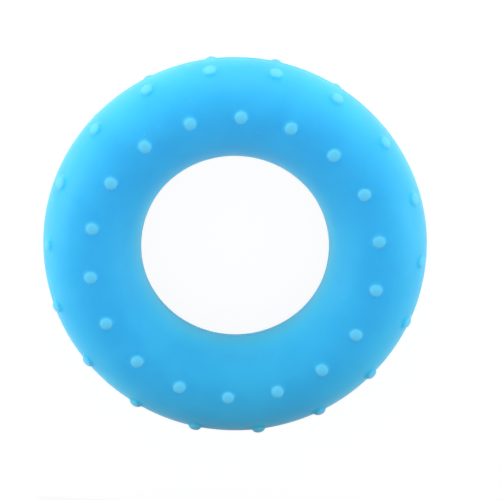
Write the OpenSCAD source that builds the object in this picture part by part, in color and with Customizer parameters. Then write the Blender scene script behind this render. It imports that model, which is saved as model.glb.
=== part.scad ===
// Hand grip strengthener: a soft silicone ring, squeezed between palm and fingers.
// The ring lies flat, its axis along Z, its centre at the origin. Lengths are in millimetres.
//
// The real ring is one moulding. It is divided here where it works differently:
// the palm side stays put, the finger side is pulled along -Y towards it,
// and the two flanks between them give way. The nubs go with the zone that they grow from.

/* [Ring] */
// Diameter across the smooth outer edge
ring_d = 70; // [60:1:90]
// Thickness of the round section
tube_d = 17.8; // [14:0.1:22]

/* [Nubs] */
// Nubs in each row
nubs_per_row = 18; // [12:1:24]
// Diameter of a nub where it leaves the ring
nub_d = 2.4; // [1.6:0.1:4]
// Height of a nub above the ring
nub_h = 0.85; // [0.5:0.05:1.2]
// Diameter of the flat tip of a nub
nub_tip_d = 0.9; // [0.4:0.1:1.2]
// Angle of a shoulder row above or below the ring's outer edge
shoulder_lean = 31; // [25:1:45]

/* [Zones] */
// Half-angle of the palm side and of the finger side, seen from the ring's centre
grip_half_angle = 50; // [45:1:55]

/* [Hidden] */

tube_r = tube_d / 2;
// Radius of the circle that the middle of the section follows
crest_r = ring_d / 2 - tube_r;
// Height above the ring's centre line at which the grip zones end and the flanks begin
zone_y = crest_r * cos(grip_half_angle);
// Half the side of a block that holds the whole ring
reach = ring_d;

// A row's lean is the angle of its nubs above the outer edge, in the round section
face_lean = 90;
nub_pitch = 360 / nubs_per_row;
// The shoulder rows stand half a pitch on, between the nubs of the face rows
face_start = 0;
shoulder_start = nub_pitch / 2;

// A nub is a ball that shows its upper part, cut flat at the tip.
// The ball passes through the rim of the nub's foot and the rim of its tip.
ball_drop = (pow(nub_d / 2, 2) - pow(nub_tip_d / 2, 2) - pow(nub_h, 2)) / (2 * nub_h);
ball_r = norm([nub_d / 2, ball_drop]);

// Zones, numbered clockwise from the finger side as seen from the front
FINGER = 0;
RIGHT = 1;
PALM = 2;
LEFT = 3;

// The zone that holds a point at this angle, clockwise from the finger side, and this radius
function zone_at(angle, radius) =
    radius * cos(angle) > zone_y ? FINGER
    : radius * cos(angle) < -zone_y ? PALM
    : sin(angle) > 0 ? RIGHT
    : LEFT;

// The whole ring without its nubs
module plain_ring() {
    rotate_extrude($fn = 180)
        translate([crest_r, 0])
            circle(r = tube_r, $fn = 96);
}

// The block that bounds each zone
module zone_block(zone) {
    if (zone == FINGER)
        translate([-reach, zone_y, -reach])
            cube([2 * reach, reach, 2 * reach]);
    if (zone == PALM)
        translate([-reach, -zone_y - reach, -reach])
            cube([2 * reach, reach, 2 * reach]);
    if (zone == RIGHT)
        translate([0, -zone_y, -reach])
            cube([reach, 2 * zone_y, 2 * reach]);
    if (zone == LEFT)
        translate([-reach, -zone_y, -reach])
            cube([reach, 2 * zone_y, 2 * reach]);
}

module ring_zone(zone) {
    intersection() {
        plain_ring();
        zone_block(zone);
    }
}

// One nub, standing on Z = 0 with its root below
module nub() {
    intersection() {
        translate([0, 0, -ball_drop])
            sphere(r = ball_r, $fn = 48);
        translate([0, 0, nub_h - 2 * ball_r])
            cylinder(r = nub_d, h = 2 * ball_r, $fn = 48);
    }
}

// The nubs of one row that stand in one zone, each seated on the curve of the ring
module nub_row(zone, lean, start) {
    foot_radius = crest_r + tube_r * cos(lean);
    difference() {
        for (i = [0 : nubs_per_row - 1]) {
            angle = start + i * nub_pitch;
            if (zone_at(angle, foot_radius) == zone)
                rotate([0, 0, -angle])
                    translate([0, crest_r, 0])
                        rotate([lean - 90, 0, 0])
                            translate([0, 0, tube_r])
                                nub();
        }
        plain_ring();
    }
}

module front_face_nubs(zone) {
    color("lightskyblue")
        nub_row(zone, face_lean, face_start);
}

module front_shoulder_nubs(zone) {
    color("lightskyblue")
        nub_row(zone, shoulder_lean, shoulder_start);
}

module rear_shoulder_nubs(zone) {
    color("lightskyblue")
        nub_row(zone, -shoulder_lean, shoulder_start);
}

module rear_face_nubs(zone) {
    color("lightskyblue")
        nub_row(zone, -face_lean, face_start);
}

module palm_side() {
    color("deepskyblue")
        ring_zone(PALM);
}

module finger_side() {
    color("deepskyblue")
        ring_zone(FINGER);
}

module left_flank() {
    color("deepskyblue")
        ring_zone(LEFT);
}

module right_flank() {
    color("deepskyblue")
        ring_zone(RIGHT);
}

palm_side();
finger_side();
left_flank();
right_flank();
front_face_nubs(PALM);  // palm_front_face_nubs
front_shoulder_nubs(PALM);  // palm_front_shoulder_nubs
rear_shoulder_nubs(PALM);  // palm_rear_shoulder_nubs
rear_face_nubs(PALM);  // palm_rear_face_nubs
front_face_nubs(FINGER);  // finger_front_face_nubs
front_shoulder_nubs(FINGER);  // finger_front_shoulder_nubs
rear_shoulder_nubs(FINGER);  // finger_rear_shoulder_nubs
rear_face_nubs(FINGER);  // finger_rear_face_nubs
front_face_nubs(LEFT);  // left_front_face_nubs
front_shoulder_nubs(LEFT);  // left_front_shoulder_nubs
rear_shoulder_nubs(LEFT);  // left_rear_shoulder_nubs
rear_face_nubs(LEFT);  // left_rear_face_nubs
front_face_nubs(RIGHT);  // right_front_face_nubs
front_shoulder_nubs(RIGHT);  // right_front_shoulder_nubs
rear_shoulder_nubs(RIGHT);  // right_rear_shoulder_nubs
rear_face_nubs(RIGHT);  // right_rear_face_nubs
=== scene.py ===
# %% [markdown]
# # A silicone grip ring
#
# This lesson dresses one small object: a soft ring that a hand squeezes, with rows of nubs that press into
# the skin. The real ring is a single silicone moulding. Its charm is in three things that are easy to miss:
# the section is truly round, the nubs melt into it through a tiny fillet, and the rubber is cloudy, so that
# thin places and edges look paler than the body.
#
# The CAD model is loaded first and is never changed. Everything below is modelled in its frame, in metres,
# with the ring lying flat and its axis along Z.

# %% Load the frame
from math import atan2, cos, pi, radians, sin

import bpy
from mathutils import Matrix, Vector, noise


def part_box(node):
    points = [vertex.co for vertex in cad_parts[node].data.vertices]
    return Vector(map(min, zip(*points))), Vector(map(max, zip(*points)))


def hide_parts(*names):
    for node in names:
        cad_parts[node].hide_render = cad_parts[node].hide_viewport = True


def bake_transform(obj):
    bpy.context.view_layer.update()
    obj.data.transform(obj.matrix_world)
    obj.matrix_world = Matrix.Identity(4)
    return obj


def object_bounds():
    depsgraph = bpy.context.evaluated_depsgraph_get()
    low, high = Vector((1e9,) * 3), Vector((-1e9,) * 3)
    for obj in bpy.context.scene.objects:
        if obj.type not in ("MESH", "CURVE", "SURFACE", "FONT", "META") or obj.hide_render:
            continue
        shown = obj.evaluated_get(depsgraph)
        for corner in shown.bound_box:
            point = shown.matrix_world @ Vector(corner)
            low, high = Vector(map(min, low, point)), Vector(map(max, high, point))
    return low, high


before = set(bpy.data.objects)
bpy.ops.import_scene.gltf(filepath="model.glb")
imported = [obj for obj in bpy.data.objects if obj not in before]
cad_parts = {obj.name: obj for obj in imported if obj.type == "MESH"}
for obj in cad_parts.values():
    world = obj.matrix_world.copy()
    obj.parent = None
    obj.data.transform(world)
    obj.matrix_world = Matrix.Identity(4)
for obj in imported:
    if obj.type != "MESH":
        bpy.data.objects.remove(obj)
CAD_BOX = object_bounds()

# %% [markdown]
# ## Sizes
#
# Only a few sizes drive the ring. They could be read off the CAD meshes, but a maker's sizes are easier to
# follow. So they are written out, and the cell prints the section's radius beside the height of the palm
# side's CAD solid, which shows at once if the CAD model has changed.

# %% Driving sizes
MM = 0.001
CREST_R = 26.1 * MM  # radius of the circle along which the section runs
TUBE_R = 8.9 * MM  # radius of the round section
NUBS_PER_ROW = 18
NUB_R = 1.2 * MM  # radius of a nub where it leaves the ring
NUB_H = 0.85 * MM
SHOULDER_LEAN = 31  # degrees above the ring's outer edge
FACE_LEAN = 90
NUB_PITCH = 360 / NUBS_PER_ROW

palm_low, palm_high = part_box("palm_side")
print(f"section radius {TUBE_R / MM:.2f} mm, in the CAD {palm_high[2] / MM:.2f} mm")

# %% [markdown]
# ## The camera
#
# The ring is seen almost face-on, from half a metre through a long lens, which keeps the far and near sides
# nearly equal. The camera leans 15 degrees from the ring's axis towards the finger side. A Track To
# constraint could aim it, but not say how it is rolled, so its place is built from three turns. The ring's
# centre sits a little left of the middle of the picture. The camera turns by that small angle and isn't
# shifted, because a shift would stay when the ring is looked at from other sides.

# %% Camera
PICTURE_PX = 500
CENTRE_PX = (235.0, 246.3)  # where the ring's centre falls in the picture
PX_PER_M = 5473  # at the ring's centre
CAMERA_DISTANCE = 0.482
CAMERA_LEAN = 15.2  # degrees from the ring's axis towards the finger side
CAMERA_SIDE = 0.54  # degrees from there towards the right flank
CAMERA_ROLL = 2.69  # degrees about the ring's axis
SENSOR_MM = 36
NEAREST = 10 * MM  # nothing nearer to the camera is drawn


def turn_about(axis, angle):
    """A rotation about one axis, in degrees."""
    return Matrix.Rotation(radians(angle), 3, axis)


focal_px = CAMERA_DISTANCE * PX_PER_M
aim_right = atan2(PICTURE_PX / 2 - CENTRE_PX[0], focal_px) * 180 / pi
aim_up = atan2(CENTRE_PX[1] - PICTURE_PX / 2, focal_px) * 180 / pi

facing = turn_about("Z", CAMERA_ROLL) @ turn_about("X", -CAMERA_LEAN) @ turn_about("Y", CAMERA_SIDE)
place = facing @ Vector((0, 0, CAMERA_DISTANCE))
aimed = facing @ turn_about("Y", -aim_right) @ turn_about("X", aim_up)

camera_data = bpy.data.cameras.new("camera")
camera_data.sensor_width = SENSOR_MM
camera_data.lens = SENSOR_MM * focal_px / PICTURE_PX
camera_data.clip_start = NEAREST
camera = bpy.data.objects.new("camera", camera_data)
camera.matrix_world = Matrix.Translation(place) @ aimed.to_4x4()
bpy.context.collection.objects.link(camera)
bpy.context.scene.camera = camera
print(f"lens {camera_data.lens:.1f} mm, turned {aim_right:.2f} right and {aim_up:.2f} up")

# %% [markdown]
# ## Writing shader maths
#
# A material is a sum: a cloudy blue plus some grain plus a few specks. It could be wired by hand in the
# Shader Editor, but a tree of nodes hides such sums, so a small class lets them be written as sums. A Feed
# is a value that leaves a socket. Where Feeds and numbers are added, taken from each other or multiplied,
# the Math node that does it is added to the tree.

# %% Feed
class Feed:
    """A value on its way from one node to the next."""

    def __init__(self, finish, socket):
        self.finish = finish
        self.socket = socket

    def maths(self, operation, first, second):
        made = self.finish.node("Math", {"operation": operation}, {0: first, 1: second})
        return made(0)

    def __add__(self, other):
        return self.maths("ADD", self, other)

    def __sub__(self, other):
        return self.maths("SUBTRACT", self, other)

    def __rsub__(self, other):
        return self.maths("SUBTRACT", other, self)

    def __mul__(self, other):
        return self.maths("MULTIPLY", self, other)

    __radd__ = __add__
    __rmul__ = __mul__


print("a Feed adds, subtracts and multiplies")

# %% [markdown]
# A Finish is the node tree of a material. Every node that isn't maths comes from one method, which sets the
# node's settings first and then fills its sockets with numbers or with Feeds. The other methods are short
# names for what this ring needs often: a value stored on the mesh, soft noise, a smooth step, a mix of two
# colours and a normal that leans.

# %% Finish
class Finish:
    """The node tree of one material, or of the world."""

    def __init__(self, owner):
        owner.use_nodes = True
        self.tree = owner.node_tree
        self.tree.nodes.clear()

    def node(self, kind, settings, sockets):
        """Adds a node, and returns a function that gives its outputs by number or name."""
        made = self.tree.nodes.new("ShaderNode" + kind)
        for key, value in settings.items():
            setattr(made, key, value)
        for key, value in sockets.items():
            if isinstance(value, Feed):
                self.tree.links.new(value.socket, made.inputs[key])
            else:
                made.inputs[key].default_value = value
        return lambda key: Feed(self, made.outputs[key])

    def attribute(self, name, output):
        """A value that is stored on the mesh."""
        return self.node("Attribute", {"attribute_name": name}, {})(output)

    def cloud(self, where, size, detail):
        """Soft noise from 0 to 1 whose blotches are about this size."""
        made = self.node("TexNoise", {}, {"Vector": where, "Scale": 1 / size, "Detail": detail})
        return made(0)

    def step(self, value, low, high):
        """0 below low, 1 above high and smooth between."""
        made = self.node(
            "MapRange",
            {"interpolation_type": "SMOOTHSTEP"},
            {"Value": value, "From Min": low, "From Max": high},
        )
        return made(0)

    def blend(self, share, first, second):
        """Mixes two colours."""
        made = self.node("Mix", {"data_type": "RGBA"}, {0: share, 6: first, 7: second})
        return made(2)

    def even_normal(self, axis, share):
        """The surface's normal, leaned towards an axis by a share."""
        normal = self.node("NewGeometry", {}, {})("Normal")
        along = self.node("VectorMath", {"operation": "DOT_PRODUCT"}, {0: normal, 1: axis})("Value")
        upright = self.node("VectorMath", {"operation": "SCALE"}, {0: axis, "Scale": along})(0)
        leaned = self.node("Mix", {"data_type": "VECTOR"}, {0: share, 4: normal, 5: upright})(1)
        return self.node("VectorMath", {"operation": "NORMALIZE"}, {0: leaned})(0)


print("a Finish adds nodes, clouds, steps, blends and leaning normals")

# %% [markdown]
# ## The room
#
# A ring on a table gets light from every wall of the room, which fills its shadows. Modelled walls could do
# that, at the cost of long renders. A plain white world gives the same even fill, and nothing in it has to
# be placed. It is dim, because the lamps add to it.

# %% World
WORLD_LIGHT = 0.66

world = bpy.data.worlds.new("white room")
bpy.context.scene.world = world
room = Finish(world)
room_light = room.node("Background", {}, {"Color": (1, 1, 1, 1), "Strength": WORLD_LIGHT})
room.node("OutputWorld", {}, {"Surface": room_light(0)})
print("world light", WORLD_LIGHT)

# %% [markdown]
# ## The floor
#
# The ring lies on a sheet of paper that curves up far behind it, as photographers hang it, so no horizon
# shows. A flat plane would do while the camera looks down, but its edge would cut across the views from the
# side. So the sheet is a disc of faces, flat in the middle and lifted all round.

# %% Floor
FLOOR_R = 0.9
FLOOR_FLAT_R = 0.5
FLOOR_RISE = 0.35
FLOOR_CIRCLES = 48
FLOOR_SPOKES = 96
FLOOR_GAP = 0.02 * MM  # the nubs' tips are uneven by about this much


def mesh_object(name, points, faces, smooth=True):
    """A mesh object from points and faces, in the scene."""
    mesh = bpy.data.meshes.new(name)
    mesh.from_pydata(points, [], faces)
    mesh.polygons.foreach_set("use_smooth", [smooth] * len(mesh.polygons))
    mesh.update()
    made = bpy.data.objects.new(name, mesh)
    bpy.context.collection.objects.link(made)
    return made


def floor_height(radius):
    """Flat in the middle, then curving up."""
    share = max(0, radius - FLOOR_FLAT_R) / (FLOOR_R - FLOOR_FLAT_R)
    return FLOOR_RISE * share * share


floor_z = CAD_BOX[0][2] - FLOOR_GAP
floor_points = [(0, 0, floor_z)]
for circle in range(1, FLOOR_CIRCLES + 1):
    radius = FLOOR_R * circle / FLOOR_CIRCLES
    for spoke in range(FLOOR_SPOKES):
        angle = 2 * pi * spoke / FLOOR_SPOKES
        height = floor_z + floor_height(radius)
        floor_points.append((radius * cos(angle), radius * sin(angle), height))

floor_faces = []
for spoke in range(FLOOR_SPOKES):
    after = (spoke + 1) % FLOOR_SPOKES
    floor_faces.append((0, 1 + spoke, 1 + after))
    for circle in range(FLOOR_CIRCLES - 1):
        inner = 1 + circle * FLOOR_SPOKES
        outer = inner + FLOOR_SPOKES
        floor_faces.append((inner + spoke, outer + spoke, outer + after, inner + after))

floor = mesh_object("floor", floor_points, floor_faces)
print("floor at", round(floor_z / MM, 2), "mm with", len(floor_faces), "faces")

# %% [markdown]
# Brighter lamps would whiten the paper, but they would bleach the rubber too. So it looks white only to the
# camera, in reflections and through clear things, which the Light Path node tells apart, while the light
# that it throws back on the ring is its own. It keeps a share of its own shading, so the ring's soft shadow
# stays on it. Its underside is clear, so the ring's rear can be looked at from below, as through a glass
# table.

# %% Paper
PAPER_DARK, PAPER_PALE = (0.88, 0.88, 0.88, 1), (0.92, 0.92, 0.92, 1)
PAPER_GRAIN = 0.4 * MM
SHADOW_KEPT = 0.15  # the share of the floor's look that comes from its own shading
WHITENESS = 1.08  # with that share added, the open floor comes out just white


def seen_directly(finish):
    """1 for rays from the camera, in reflections and through clear things, else 0."""
    path = finish.node("LightPath", {}, {})
    camera_or_gloss = path("Is Camera Ray") + path("Is Glossy Ray")
    return camera_or_gloss + path("Is Transmission Ray")


def fibrous(finish, size, dark, pale):
    """A colour that varies between two, as fibres do."""
    where = finish.node("TexCoord", {}, {})("Object")
    return finish.blend(finish.cloud(where, size, detail=2), dark, pale)


paper = bpy.data.materials.new("pale paper")
sheet = Finish(paper)
shaded = sheet.node("BsdfDiffuse", {}, {"Color": fibrous(sheet, PAPER_GRAIN, PAPER_DARK, PAPER_PALE)})
white = sheet.node("Emission", {}, {"Color": (1, 1, 1, 1), "Strength": WHITENESS})
whitened = seen_directly(sheet) * (1 - SHADOW_KEPT)
upper_side = sheet.node("MixShader", {}, {0: whitened, 1: shaded(0), 2: white(0)})
clear = sheet.node("BsdfTransparent", {}, {})
from_above = 1 - sheet.node("NewGeometry", {}, {})("Backfacing")
one_sided = sheet.node("MixShader", {}, {0: from_above, 1: clear(0), 2: upper_side(0)})
sheet.node("OutputMaterial", {}, {"Surface": one_sided(0)})
floor.data.materials.append(paper)
print("paper of", len(sheet.tree.nodes), "nodes")

# %% [markdown]
# ## The black card
#
# A white room makes the edges of pale rubber fade into the floor. A darker world would draw them, but would
# dull the rest too. Photographers stand a black card just outside the picture, which takes light off the
# one side that faces it. Here it leans back beyond the palm side. Like the lamps, it is hidden from the
# camera.

# %% Black card
CARD_LEFT, CARD_RIGHT = -36 * MM, 64 * MM
CARD_FOOT, CARD_TOP = -54 * MM, -64 * MM  # the places in Y of its lower and upper edges
CARD_H = 40 * MM
FELT_BLACK, FELT_GREY = (0.015, 0.015, 0.015, 1), (0.025, 0.025, 0.025, 1)
FELT_GRAIN = 0.5 * MM

card_foot_z, card_top_z = floor_z, floor_z + CARD_H
card_points = [
    (CARD_LEFT, CARD_FOOT, card_foot_z),
    (CARD_RIGHT, CARD_FOOT, card_foot_z),
    (CARD_RIGHT, CARD_TOP, card_top_z),
    (CARD_LEFT, CARD_TOP, card_top_z),
]
card = mesh_object("black card", card_points, [(0, 1, 2, 3)], smooth=False)
card.visible_camera = False

felt = bpy.data.materials.new("black felt")
cloth = Finish(felt)
dull = cloth.node("BsdfDiffuse", {}, {"Color": fibrous(cloth, FELT_GRAIN, FELT_BLACK, FELT_GREY)})
cloth.node("OutputMaterial", {}, {"Surface": dull(0)})
card.data.materials.append(felt)
print("card's foot at y", round(CARD_FOOT / MM), "mm")

# %% [markdown]
# ## The lamps
#
# A single spot would draw hard shadows, where soft rubber looks best in soft light. So the ring is lit as
# in a small light tent. A low panel stands close beyond the finger side, so the light falls off towards the
# palm side. Two more at the left and right graze the flanks and make their edges pale. Each panel is named
# by where it stands, and its strength is how white it would make a white card that faces it from the ring's
# place.

# %% Lamps
PANEL_HEIGHT = 8  # degrees above the floor, seen from the ring
NEAR, FAR = 0.25, 0.6  # metres from the ring's centre
SMALL, LARGE = 0.15, 0.3  # metres along a side of a square panel


def panel(name, compass, distance, size, strength):
    """A soft square lamp. Compass is in degrees clockwise from the finger side."""
    data = bpy.data.lights.new(name, "AREA")
    data.size = size
    data.energy = strength * (pi * distance) ** 2
    lamp = bpy.data.objects.new(name, data)
    way = turn_about("Z", -compass) @ turn_about("X", PANEL_HEIGHT) @ Vector((0, distance, 0))
    lamp.location = way
    lamp.rotation_euler = way.to_track_quat("Z", "Y").to_euler()
    lamp.visible_camera = False
    bpy.context.collection.objects.link(lamp)
    print(name, "at", [round(v, 2) for v in way])


panel("finger panel", 0, NEAR, SMALL, 0.57)
panel("left panel", -90, FAR, LARGE, 0.65)
panel("right panel", 90, FAR, LARGE, 0.50)

# %% [markdown]
# ## The silicone
#
# Pigmented silicone is matte, a little cloudy and full of small accidents: soft blotches where the colour
# swirled in the mould, a fine grain from the mould's blasted surface, finger grease that changes the shine
# and the odd speck of lint. Painted maps could hold them, but would blur close up, so each is noise of its
# own size. All of them are placed by coordinates that are stored on the mesh at rest, so they stay with the
# rubber when it is squeezed.
#
# The nubs are so thin that light comes back out of them, and they look paler. That glow is painted into
# their colour as a paler blue, which grows with the height above the ring, and its share is stored on the
# nub's mesh. The wall of the hole is painted paler too, as painted light that brightens it. That mask is
# stored on the ring's mesh.
#
# Light travels a centimetre or two inside the ring. A nub is a mesh of its own, a millimetre across, and
# light that wandered out of it downwards would be lost, so the nubs scatter none. What scattering would do
# is done in another way: it evens out the shading of a nub, so the normal leans towards the nub's own axis.
# The axis and the share are stored on the mesh.

# %% Silicone colours and sizes
RING_BLUE = (0.022, 0.460, 0.800, 1)
CLOUD_BLUE = (0.029, 0.487, 0.832, 1)
# painted light: the paler blue painted on the wall of the hole
HOLE_WALL_PAINTED_LIGHT_BLUE = (0.045, 0.610, 0.950, 1)
# painted glow: the paler blue painted on the nubs' tips
NUB_PAINTED_GLOW_BLUE = (0.110, 0.645, 1.0, 1)
BLOTCH_SIZE = 9 * MM
SWIRL_FROM, SWIRL_FULL = 0.35, 0.65  # where in the noise of the blotches one blue turns into the other
LINT = (0.45, 0.70, 0.85, 1)
LINT_STRENGTH = 0.25
LINT_SIZE = 0.7 * MM
LINT_FROM, LINT_FULL = 0.80, 0.84  # only the noise's highest peaks are lint
GRAIN_SIZE, RIPPLE_SIZE = 0.22 * MM, 3.5 * MM
GRAIN_HEIGHT, RIPPLE_HEIGHT = 0.006, 0.05  # in millimetres
BUMP_STRENGTH = 0.5
GREASE_SIZE = 6 * MM
CLEAN_ROUGHNESS, GREASE_ROUGHNESS = 0.42, 0.16  # the second is added where there is grease
SILICONE_IOR = 1.41
GLOSS = 0.16
SHEEN, SHEEN_ROUGHNESS = 0.25, 0.6
LIGHT_REACH = 20 * MM
REACH_BY_COLOUR = (0.3, 0.75, 1.0)  # red light dies out in blue rubber, blue light travels far
print("the ring's blue:", RING_BLUE[:3])

# %% [markdown]
# One function makes the finish of the ring and that of the nubs, which come from the same pour. They differ
# in three places only: what paints them paler (a painted glow on the nubs, painted light on the wall of the
# hole), the leaning normals, and whether light wanders inside.

# %% Silicone
def silicone(name, nub):
    """The rubber of the ring, or of the nubs where nub is true."""
    material = bpy.data.materials.new(name)
    rubber = Finish(material)
    where = rubber.attribute("rest_place", "Vector")

    swirl = rubber.step(rubber.cloud(where, BLOTCH_SIZE, detail=3), SWIRL_FROM, SWIRL_FULL)
    colour = rubber.blend(swirl, RING_BLUE, CLOUD_BLUE)
    # painted light: a paler blue painted on the nubs' tips and on the wall of the hole
    mask, paler = ("painted_glow", NUB_PAINTED_GLOW_BLUE) if nub else ("painted_hole_light", HOLE_WALL_PAINTED_LIGHT_BLUE)
    colour = rubber.blend(rubber.attribute(mask, "Fac"), colour, paler)
    lint = rubber.step(rubber.cloud(where, LINT_SIZE, detail=1), LINT_FROM, LINT_FULL)
    colour = rubber.blend(lint * LINT_STRENGTH, colour, LINT)

    grease = rubber.cloud(where, GREASE_SIZE, detail=4)
    grain = rubber.cloud(where, GRAIN_SIZE, detail=2)
    ripple = rubber.cloud(where, RIPPLE_SIZE, detail=2)
    height = grain * GRAIN_HEIGHT + ripple * RIPPLE_HEIGHT
    bump_sockets = {"Height": height, "Strength": BUMP_STRENGTH, "Distance": MM}
    if nub:
        axis = rubber.attribute("nub_axis", "Vector")
        bump_sockets["Normal"] = rubber.even_normal(axis, rubber.attribute("evenness", "Fac"))
    bump = rubber.node("Bump", {}, bump_sockets)

    surface_sockets = {
        "Base Color": colour,
        "Roughness": grease * GREASE_ROUGHNESS + CLEAN_ROUGHNESS,
        "IOR": SILICONE_IOR,
        "Normal": bump(0),
        "Subsurface Weight": 0.0 if nub else 1.0,
        "Subsurface Radius": REACH_BY_COLOUR,
        "Subsurface Scale": LIGHT_REACH,
        "Specular IOR Level": GLOSS,
        "Sheen Weight": SHEEN,
        "Sheen Roughness": SHEEN_ROUGHNESS,
    }
    surface = rubber.node("BsdfPrincipled", {}, surface_sockets)
    rubber.node("OutputMaterial", {}, {"Surface": surface(0)})
    return material


ring_silicone = silicone("ring silicone", nub=False)
nub_silicone = silicone("nub silicone", nub=True)
print("materials:", ring_silicone.name, "and", nub_silicone.name)

# %% [markdown]
# ## The ring
#
# A torus primitive would do for the round, but not for the line where the mould's two halves met. That line
# runs round the outer edge and round the hole, a ridge finer than a hair. So every point of the ring is
# worked out from two angles: its turn round the ring and its lean round the section. A faint waviness of a
# few hundredths of a millimetre keeps the reflections from looking machined.

# %% Places on the ring
WAVE_H = 0.03 * MM
WAVE_SIZE = 14 * MM
PARTING_H = 0.07 * MM
PARTING_W = 0.16 * MM


def outward(turn, lean):
    """The direction straight out of the ring's surface."""
    around = radians(turn)
    up = radians(lean)
    return Vector((cos(up) * sin(around), cos(up) * cos(around), sin(up)))


def on_ring(turn, lean, lift=0.0):
    """A point on the ring. Turn is clockwise from the finger side, lean is from the outer edge upwards."""
    around = radians(turn)
    core = Vector((CREST_R * sin(around), CREST_R * cos(around), 0))
    return core + outward(turn, lean) * (TUBE_R + lift)


def parting_ridge(lean):
    """Height of the mould's parting line, which runs at lean 0 and lean 180."""
    off = TUBE_R * radians(min(abs(lean), abs(lean - 180), abs(lean - 360)))
    return PARTING_H * max(0.0, 1 - (off / PARTING_W) ** 2) ** 2


def waviness(point):
    """Slight unevenness of the rubber."""
    return WAVE_H * noise.noise(point / WAVE_SIZE)


print("a crest point:", [round(v / MM, 2) for v in on_ring(0, FACE_LEAN)])

# %% [markdown]
# Where a nub meets the ring, the mould's cutter left a fillet, so the ring's skin rises to the nub. A Bevel
# modifier can't round the meeting of two meshes, so the fillet is worked out, and belongs to the ring's
# mesh. Light that wanders inside the rubber then crosses it without a seam, and the nub itself is only the
# dome. Under the dome the skin goes on rising, just below it, so that no kink shows at the dome's foot. The
# four rows are written once, as a lean and the turn of their first nub.

# %% Nub feet
ROWS = {
    "front_face_nubs": (FACE_LEAN, 0),
    "front_shoulder_nubs": (SHOULDER_LEAN, NUB_PITCH / 2),
    "rear_shoulder_nubs": (-SHOULDER_LEAN, NUB_PITCH / 2),
    "rear_face_nubs": (-FACE_LEAN, 0),
}
DOME_FOOT_ANGLE = 22  # where the dome ends on the fillet
TIP_POWER = 2.3  # above 2, the dome's top is flatter than a ball's
FILLET_W = 0.42 * MM
FOOT_R = NUB_R * cos(radians(DOME_FOOT_ANGLE)) ** (2 / TIP_POWER)
FOOT_H = NUB_H * sin(radians(DOME_FOOT_ANGLE))
SKIN_GAP = 0.04 * MM  # how far the ring's skin stays below the dome
SKIN_GAP_W = 0.2 * FOOT_R  # the gap opens over this much, from the foot inwards


def off_centre(angle, period):
    """The part of an angle beyond the nearest whole number of periods."""
    return (angle + period / 2) % period - period / 2


def skin_height(radius):
    """Height of the ring's skin at this distance from a nub's axis: the fillet, then just below the dome."""
    if radius >= FOOT_R:
        return FOOT_H * max(0.0, 1 - (radius - FOOT_R) / FILLET_W) ** 2
    dome = NUB_H * (1 - (radius / NUB_R) ** TIP_POWER) ** 0.5
    return dome - SKIN_GAP * min(1.0, (FOOT_R - radius) / SKIN_GAP_W)


def fillet(turn, lean):
    """How far the ring's skin rises at the nearest nub."""
    circle_r = CREST_R + TUBE_R * cos(radians(lean))
    rise = 0.0
    for row_lean, start in ROWS.values():
        along = TUBE_R * radians(off_centre(lean - row_lean, 360))
        across = circle_r * radians(off_centre(turn - start, NUB_PITCH))
        rise = max(rise, skin_height((along ** 2 + across ** 2) ** 0.5))
    return rise


print(f"fillets from {FOOT_R / MM:.2f} to {(FOOT_R + FILLET_W) / MM:.2f} mm, {FOOT_H / MM:.2f} mm high")

# %% [markdown]
# Fillets this small need small faces. Subdividing the whole ring would cost millions, so the mesh is
# written as a net of lines that lie close together at the nubs and the parting lines, and wide apart
# between them.

# %% Lines of the net
COLUMN = NUB_PITCH / 2  # each row has a nub in every other column
COLUMN_END = 4.3  # degrees from a column's middle to its outermost lines
LINES_AT_NUB = 14
TURN_GAP_AT_NUB, LEAN_GAP_AT_NUB = 0.5, 1.5  # degrees between the lines at a nub
LEAN_GAP, LEAN_GAP_IN_HOLE = 2.6, 2.8  # and elsewhere
PARTING_LEANS = [-1.4, -0.9, -0.45, 0, 0.45, 0.9, 1.4]


def lines_at(middle, gap):
    """The angles of the close lines at a nub."""
    return [middle + gap * (line - (LINES_AT_NUB - 1) / 2) for line in range(LINES_AT_NUB)]


def spread(first, last, gap):
    """Angles between two others, about this far apart, without the two themselves."""
    steps = round((last - first) / gap)
    return [first + (last - first) * step / steps for step in range(1, steps)]


def section_angles():
    """Angles round the section: close together at the parting lines and the nubs, even between them."""
    shoulder = lines_at(SHOULDER_LEAN, LEAN_GAP_AT_NUB)
    face = lines_at(FACE_LEAN, LEAN_GAP_AT_NUB)
    front = spread(PARTING_LEANS[-1], shoulder[0], LEAN_GAP) + shoulder
    front += spread(shoulder[-1], face[0], LEAN_GAP) + face
    front += spread(face[-1], 180 + PARTING_LEANS[0], LEAN_GAP_IN_HOLE)
    rear = [360 - lean for lean in reversed(front)]
    return PARTING_LEANS + front + [180 + lean for lean in PARTING_LEANS] + rear


column_turns = [-COLUMN_END] + lines_at(0, TURN_GAP_AT_NUB) + [COLUMN_END]
turns = [COLUMN * column + turn for column in range(2 * NUBS_PER_ROW) for turn in column_turns]
leans = section_angles()
print("net:", len(turns), "lines round the section,", len(leans), "along the ring")

# %% [markdown]
# The net is swept into the ring. Its faces could come from the Spin tool, but the finish needs to know, at
# each point, where it lies at rest and how much painted light the wall of the hole gets there, and both come
# with the angles. They are kept on the mesh as attributes, which a squeeze doesn't change.

# %% Ring mesh
HOLE_LIGHT_FROM, HOLE_LIGHT_FULL = 132, 170  # degrees from the outer edge between which the painted light on the hole's wall sets in


def ease(value, low, high):
    """0 below low, 1 above high and smooth between."""
    share = min(1.0, max(0.0, (value - low) / (high - low)))
    return share * share * (3 - 2 * share)


def painted_hole_light_at(lean):
    """How much painted light brightens the rubber: 1 on the wall of the hole, 0 outside."""
    inwards = 180 - abs(180 - lean % 360)
    return ease(inwards, HOLE_LIGHT_FROM, HOLE_LIGHT_FULL)


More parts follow.
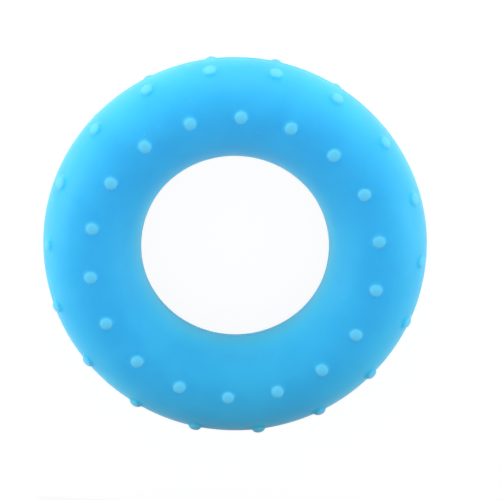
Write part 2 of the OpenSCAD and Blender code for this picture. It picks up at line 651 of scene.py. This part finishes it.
def store(mesh, name, kind, key, values):
    """Keeps one value for each point of a mesh."""
    mesh.attributes.new(name, kind, "POINT").data.foreach_set(key, values)


def keep_rest_place(piece):
    """Stores where each point is at rest, for the material."""
    flat = [value for point in piece.data.vertices for value in point.co]
    store(piece.data, "rest_place", "FLOAT_VECTOR", "vector", flat)


ring_points = []
for turn in turns:
    for lean in leans:
        lift = parting_ridge(lean) + fillet(turn, lean) + waviness(on_ring(turn, lean))
        ring_points.append(on_ring(turn, lean, lift))

ring_faces = []
count = len(leans)
for line in range(len(turns)):
    here = line * count
    there = (line + 1) % len(turns) * count
    for row in range(count):
        after = (row + 1) % count
        ring_faces.append((here + row, here + after, there + after, there + row))

ring = mesh_object("grip_ring", ring_points, ring_faces)
keep_rest_place(ring)
# painted light: the wall of the hole is painted paler
store(ring.data, "painted_hole_light", "FLOAT", "value", [painted_hole_light_at(lean) for lean in leans] * len(turns))
ring.data.materials.append(ring_silicone)
print("ring:", len(ring_faces), "faces")

# %% [markdown]
# ## The nubs
#
# Each nub is a small dome with a flattened tip. A scaled ball would be too pointed, so a profile is drawn
# once, from the tip outwards, and turned about the nub's own axis. Below the fillet it goes on as a short
# root inside the ring, which closes the mesh.

# %% Nub profile
DOME_STEPS = 14
DOME_TOP_ANGLE = 86  # the tip itself, at 90, is a single point
ROOT_DEPTH = 0.5 * MM
ROOT_PROFILE = [  # straight down from the foot, then tapered to the bottom
    (FOOT_R, 0.4 * FOOT_H),
    (FOOT_R, -0.3 * ROOT_DEPTH),
    (0.8 * FOOT_R, -ROOT_DEPTH),
]


def nub_profile():
    """(distance from the nub's axis, height) from near the tip to the bottom of the root."""
    dome = []
    for step in range(DOME_STEPS + 1):
        angle = radians(DOME_TOP_ANGLE + (DOME_FOOT_ANGLE - DOME_TOP_ANGLE) * step / DOME_STEPS)
        dome.append((NUB_R * cos(angle) ** (2 / TIP_POWER), NUB_H * sin(angle)))
    return dome + ROOT_PROFILE


profile = nub_profile()
print("nub profile:", [(round(r / MM, 2), round(h / MM, 2)) for r, h in profile])

# %% [markdown]
# The profile could be turned on a flat floor and the nub then set on the ring, but its foot would float at
# the sides, where the ring falls away. So each of its points is placed by going a small way along the
# ring's curve and then straight up from it, and the foot follows the curve.

# %% One nub
NUB_SPOKES = 36


def surface_near(turn, lean, along, across, lift):
    """A point above the ring at a small distance from a place: along the section, and across it."""
    new_lean = lean + along / TUBE_R * 180 / pi
    circle_r = CREST_R + TUBE_R * cos(radians(new_lean))
    new_turn = turn + across / circle_r * 180 / pi
    return on_ring(new_turn, new_lean, lift + waviness(on_ring(new_turn, new_lean)))


def nub_points(turn, lean, width, height):
    """Points of one nub, ring by ring, with how far each stands up, from 0 to 1."""
    points = [surface_near(turn, lean, 0, 0, NUB_H * height)]
    rises = [1.0]
    for radius, lift in profile:
        for spoke in range(NUB_SPOKES):
            angle = 2 * pi * spoke / NUB_SPOKES
            along = radius * width * cos(angle)
            across = radius * width * sin(angle)
            points.append(surface_near(turn, lean, along, across, lift * height))
            rises.append(min(1.0, max(0.0, lift / NUB_H)))
    points.append(on_ring(turn, lean, -ROOT_DEPTH))
    rises.append(0.0)
    return points, rises


def nub_faces(first):
    """Faces of one nub whose points start at this number."""
    faces = []
    last = first + 1 + len(profile) * NUB_SPOKES
    for spoke in range(NUB_SPOKES):
        after = (spoke + 1) % NUB_SPOKES
        faces.append((first, first + 1 + spoke, first + 1 + after))
        for level in range(len(profile) - 1):
            upper = first + 1 + level * NUB_SPOKES
            lower = upper + NUB_SPOKES
            faces.append((upper + spoke, lower + spoke, lower + after, upper + after))
        bottom = last - NUB_SPOKES
        faces.append((bottom + after, bottom + spoke, last))
    return faces


print("one nub:", len(nub_faces(0)), "faces")

# %% [markdown]
# Each row is one mesh, because its nubs are alike and move alike. Copies of one nub would look stamped, so
# each differs from the next by a hundredth in width and height. The nubs get a painted glow. On the faces it
# is painted over a short height, so they look like discs, and those on the shoulders fade into the ring.
# Light that falls on a nub goes on into the ring, so the nubs neither throw a shadow on it nor hold back the
# light of the room.

# %% Nub rows
UNEVENNESS = 0.01
WIDTH_STEP, HEIGHT_STEP = 2.4, 4.1  # radians from one nub to the next
ROW_LOOKS = {  # evenness, and the shares of a nub's height between which its painted glow sets in
    FACE_LEAN: (0.45, 0.2, 0.75),
    SHOULDER_LEAN: (0.6, 0.0, 0.8),
}


def nub_row(name, lean, start):
    """A whole row of nubs as one mesh."""
    points, rises, faces, axes = [], [], [], []
    for index in range(NUBS_PER_ROW):
        turn = start + index * NUB_PITCH
        width = 1 + UNEVENNESS * sin(index * WIDTH_STEP + lean)
        height = 1 - UNEVENNESS * (1 + sin(index * HEIGHT_STEP + lean))
        faces += nub_faces(len(points))
        new_points, new_rises = nub_points(turn, lean, width, height)
        points += new_points
        rises += new_rises
        axes += [*outward(turn, lean)] * len(new_points)
    row = mesh_object(name, points, faces)
    evenness, pale_from, pale_to = ROW_LOOKS[abs(lean)]
    store(row.data, "nub_axis", "FLOAT_VECTOR", "vector", axes)
    # painted glow: how far each point of a nub is painted paler
    store(row.data, "painted_glow", "FLOAT", "value", [ease(rise, pale_from, pale_to) for rise in rises])
    store(row.data, "evenness", "FLOAT", "value", [evenness] * len(points))
    keep_rest_place(row)
    row.data.materials.append(nub_silicone)
    row.visible_shadow = False
    row.visible_diffuse = False
    print(name, len(faces), "faces")
    return row


rows = {name: nub_row(name, lean, start) for name, (lean, start) in ROWS.items()}

# %% [markdown]
# ## Standing in for the CAD parts
#
# In the CAD model the finger side slides towards the palm side, and the flanks between them can't bend. The
# rubber can. Four meshes, one to a side, would open gaps between them, so each mesh is whole. The CAD parts
# that the ring and the nub rows stand for are hidden, and each mesh's place is baked into its points.

# %% Hide the CAD parts
ZONES = ("palm", "finger", "left", "right")

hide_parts("palm_side", "finger_side", "left_flank", "right_flank")
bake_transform(ring)
for name, row in rows.items():
    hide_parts(*[f"{zone}_{name}" for zone in ZONES])
    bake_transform(row)
print("blended", 1 + len(rows), "pieces")

# %% [markdown]
# ## Finish
#
# Blender's usual view would soften strong blues, so the plain one is chosen, which shows colours as they are
# written. The sizes of the CAD model are printed.

# %% Plain view and the CAD sizes
bpy.context.scene.view_settings.view_transform = "Standard"
print("CAD box   ", [[round(v / MM, 2) for v in corner] for corner in CAD_BOX])
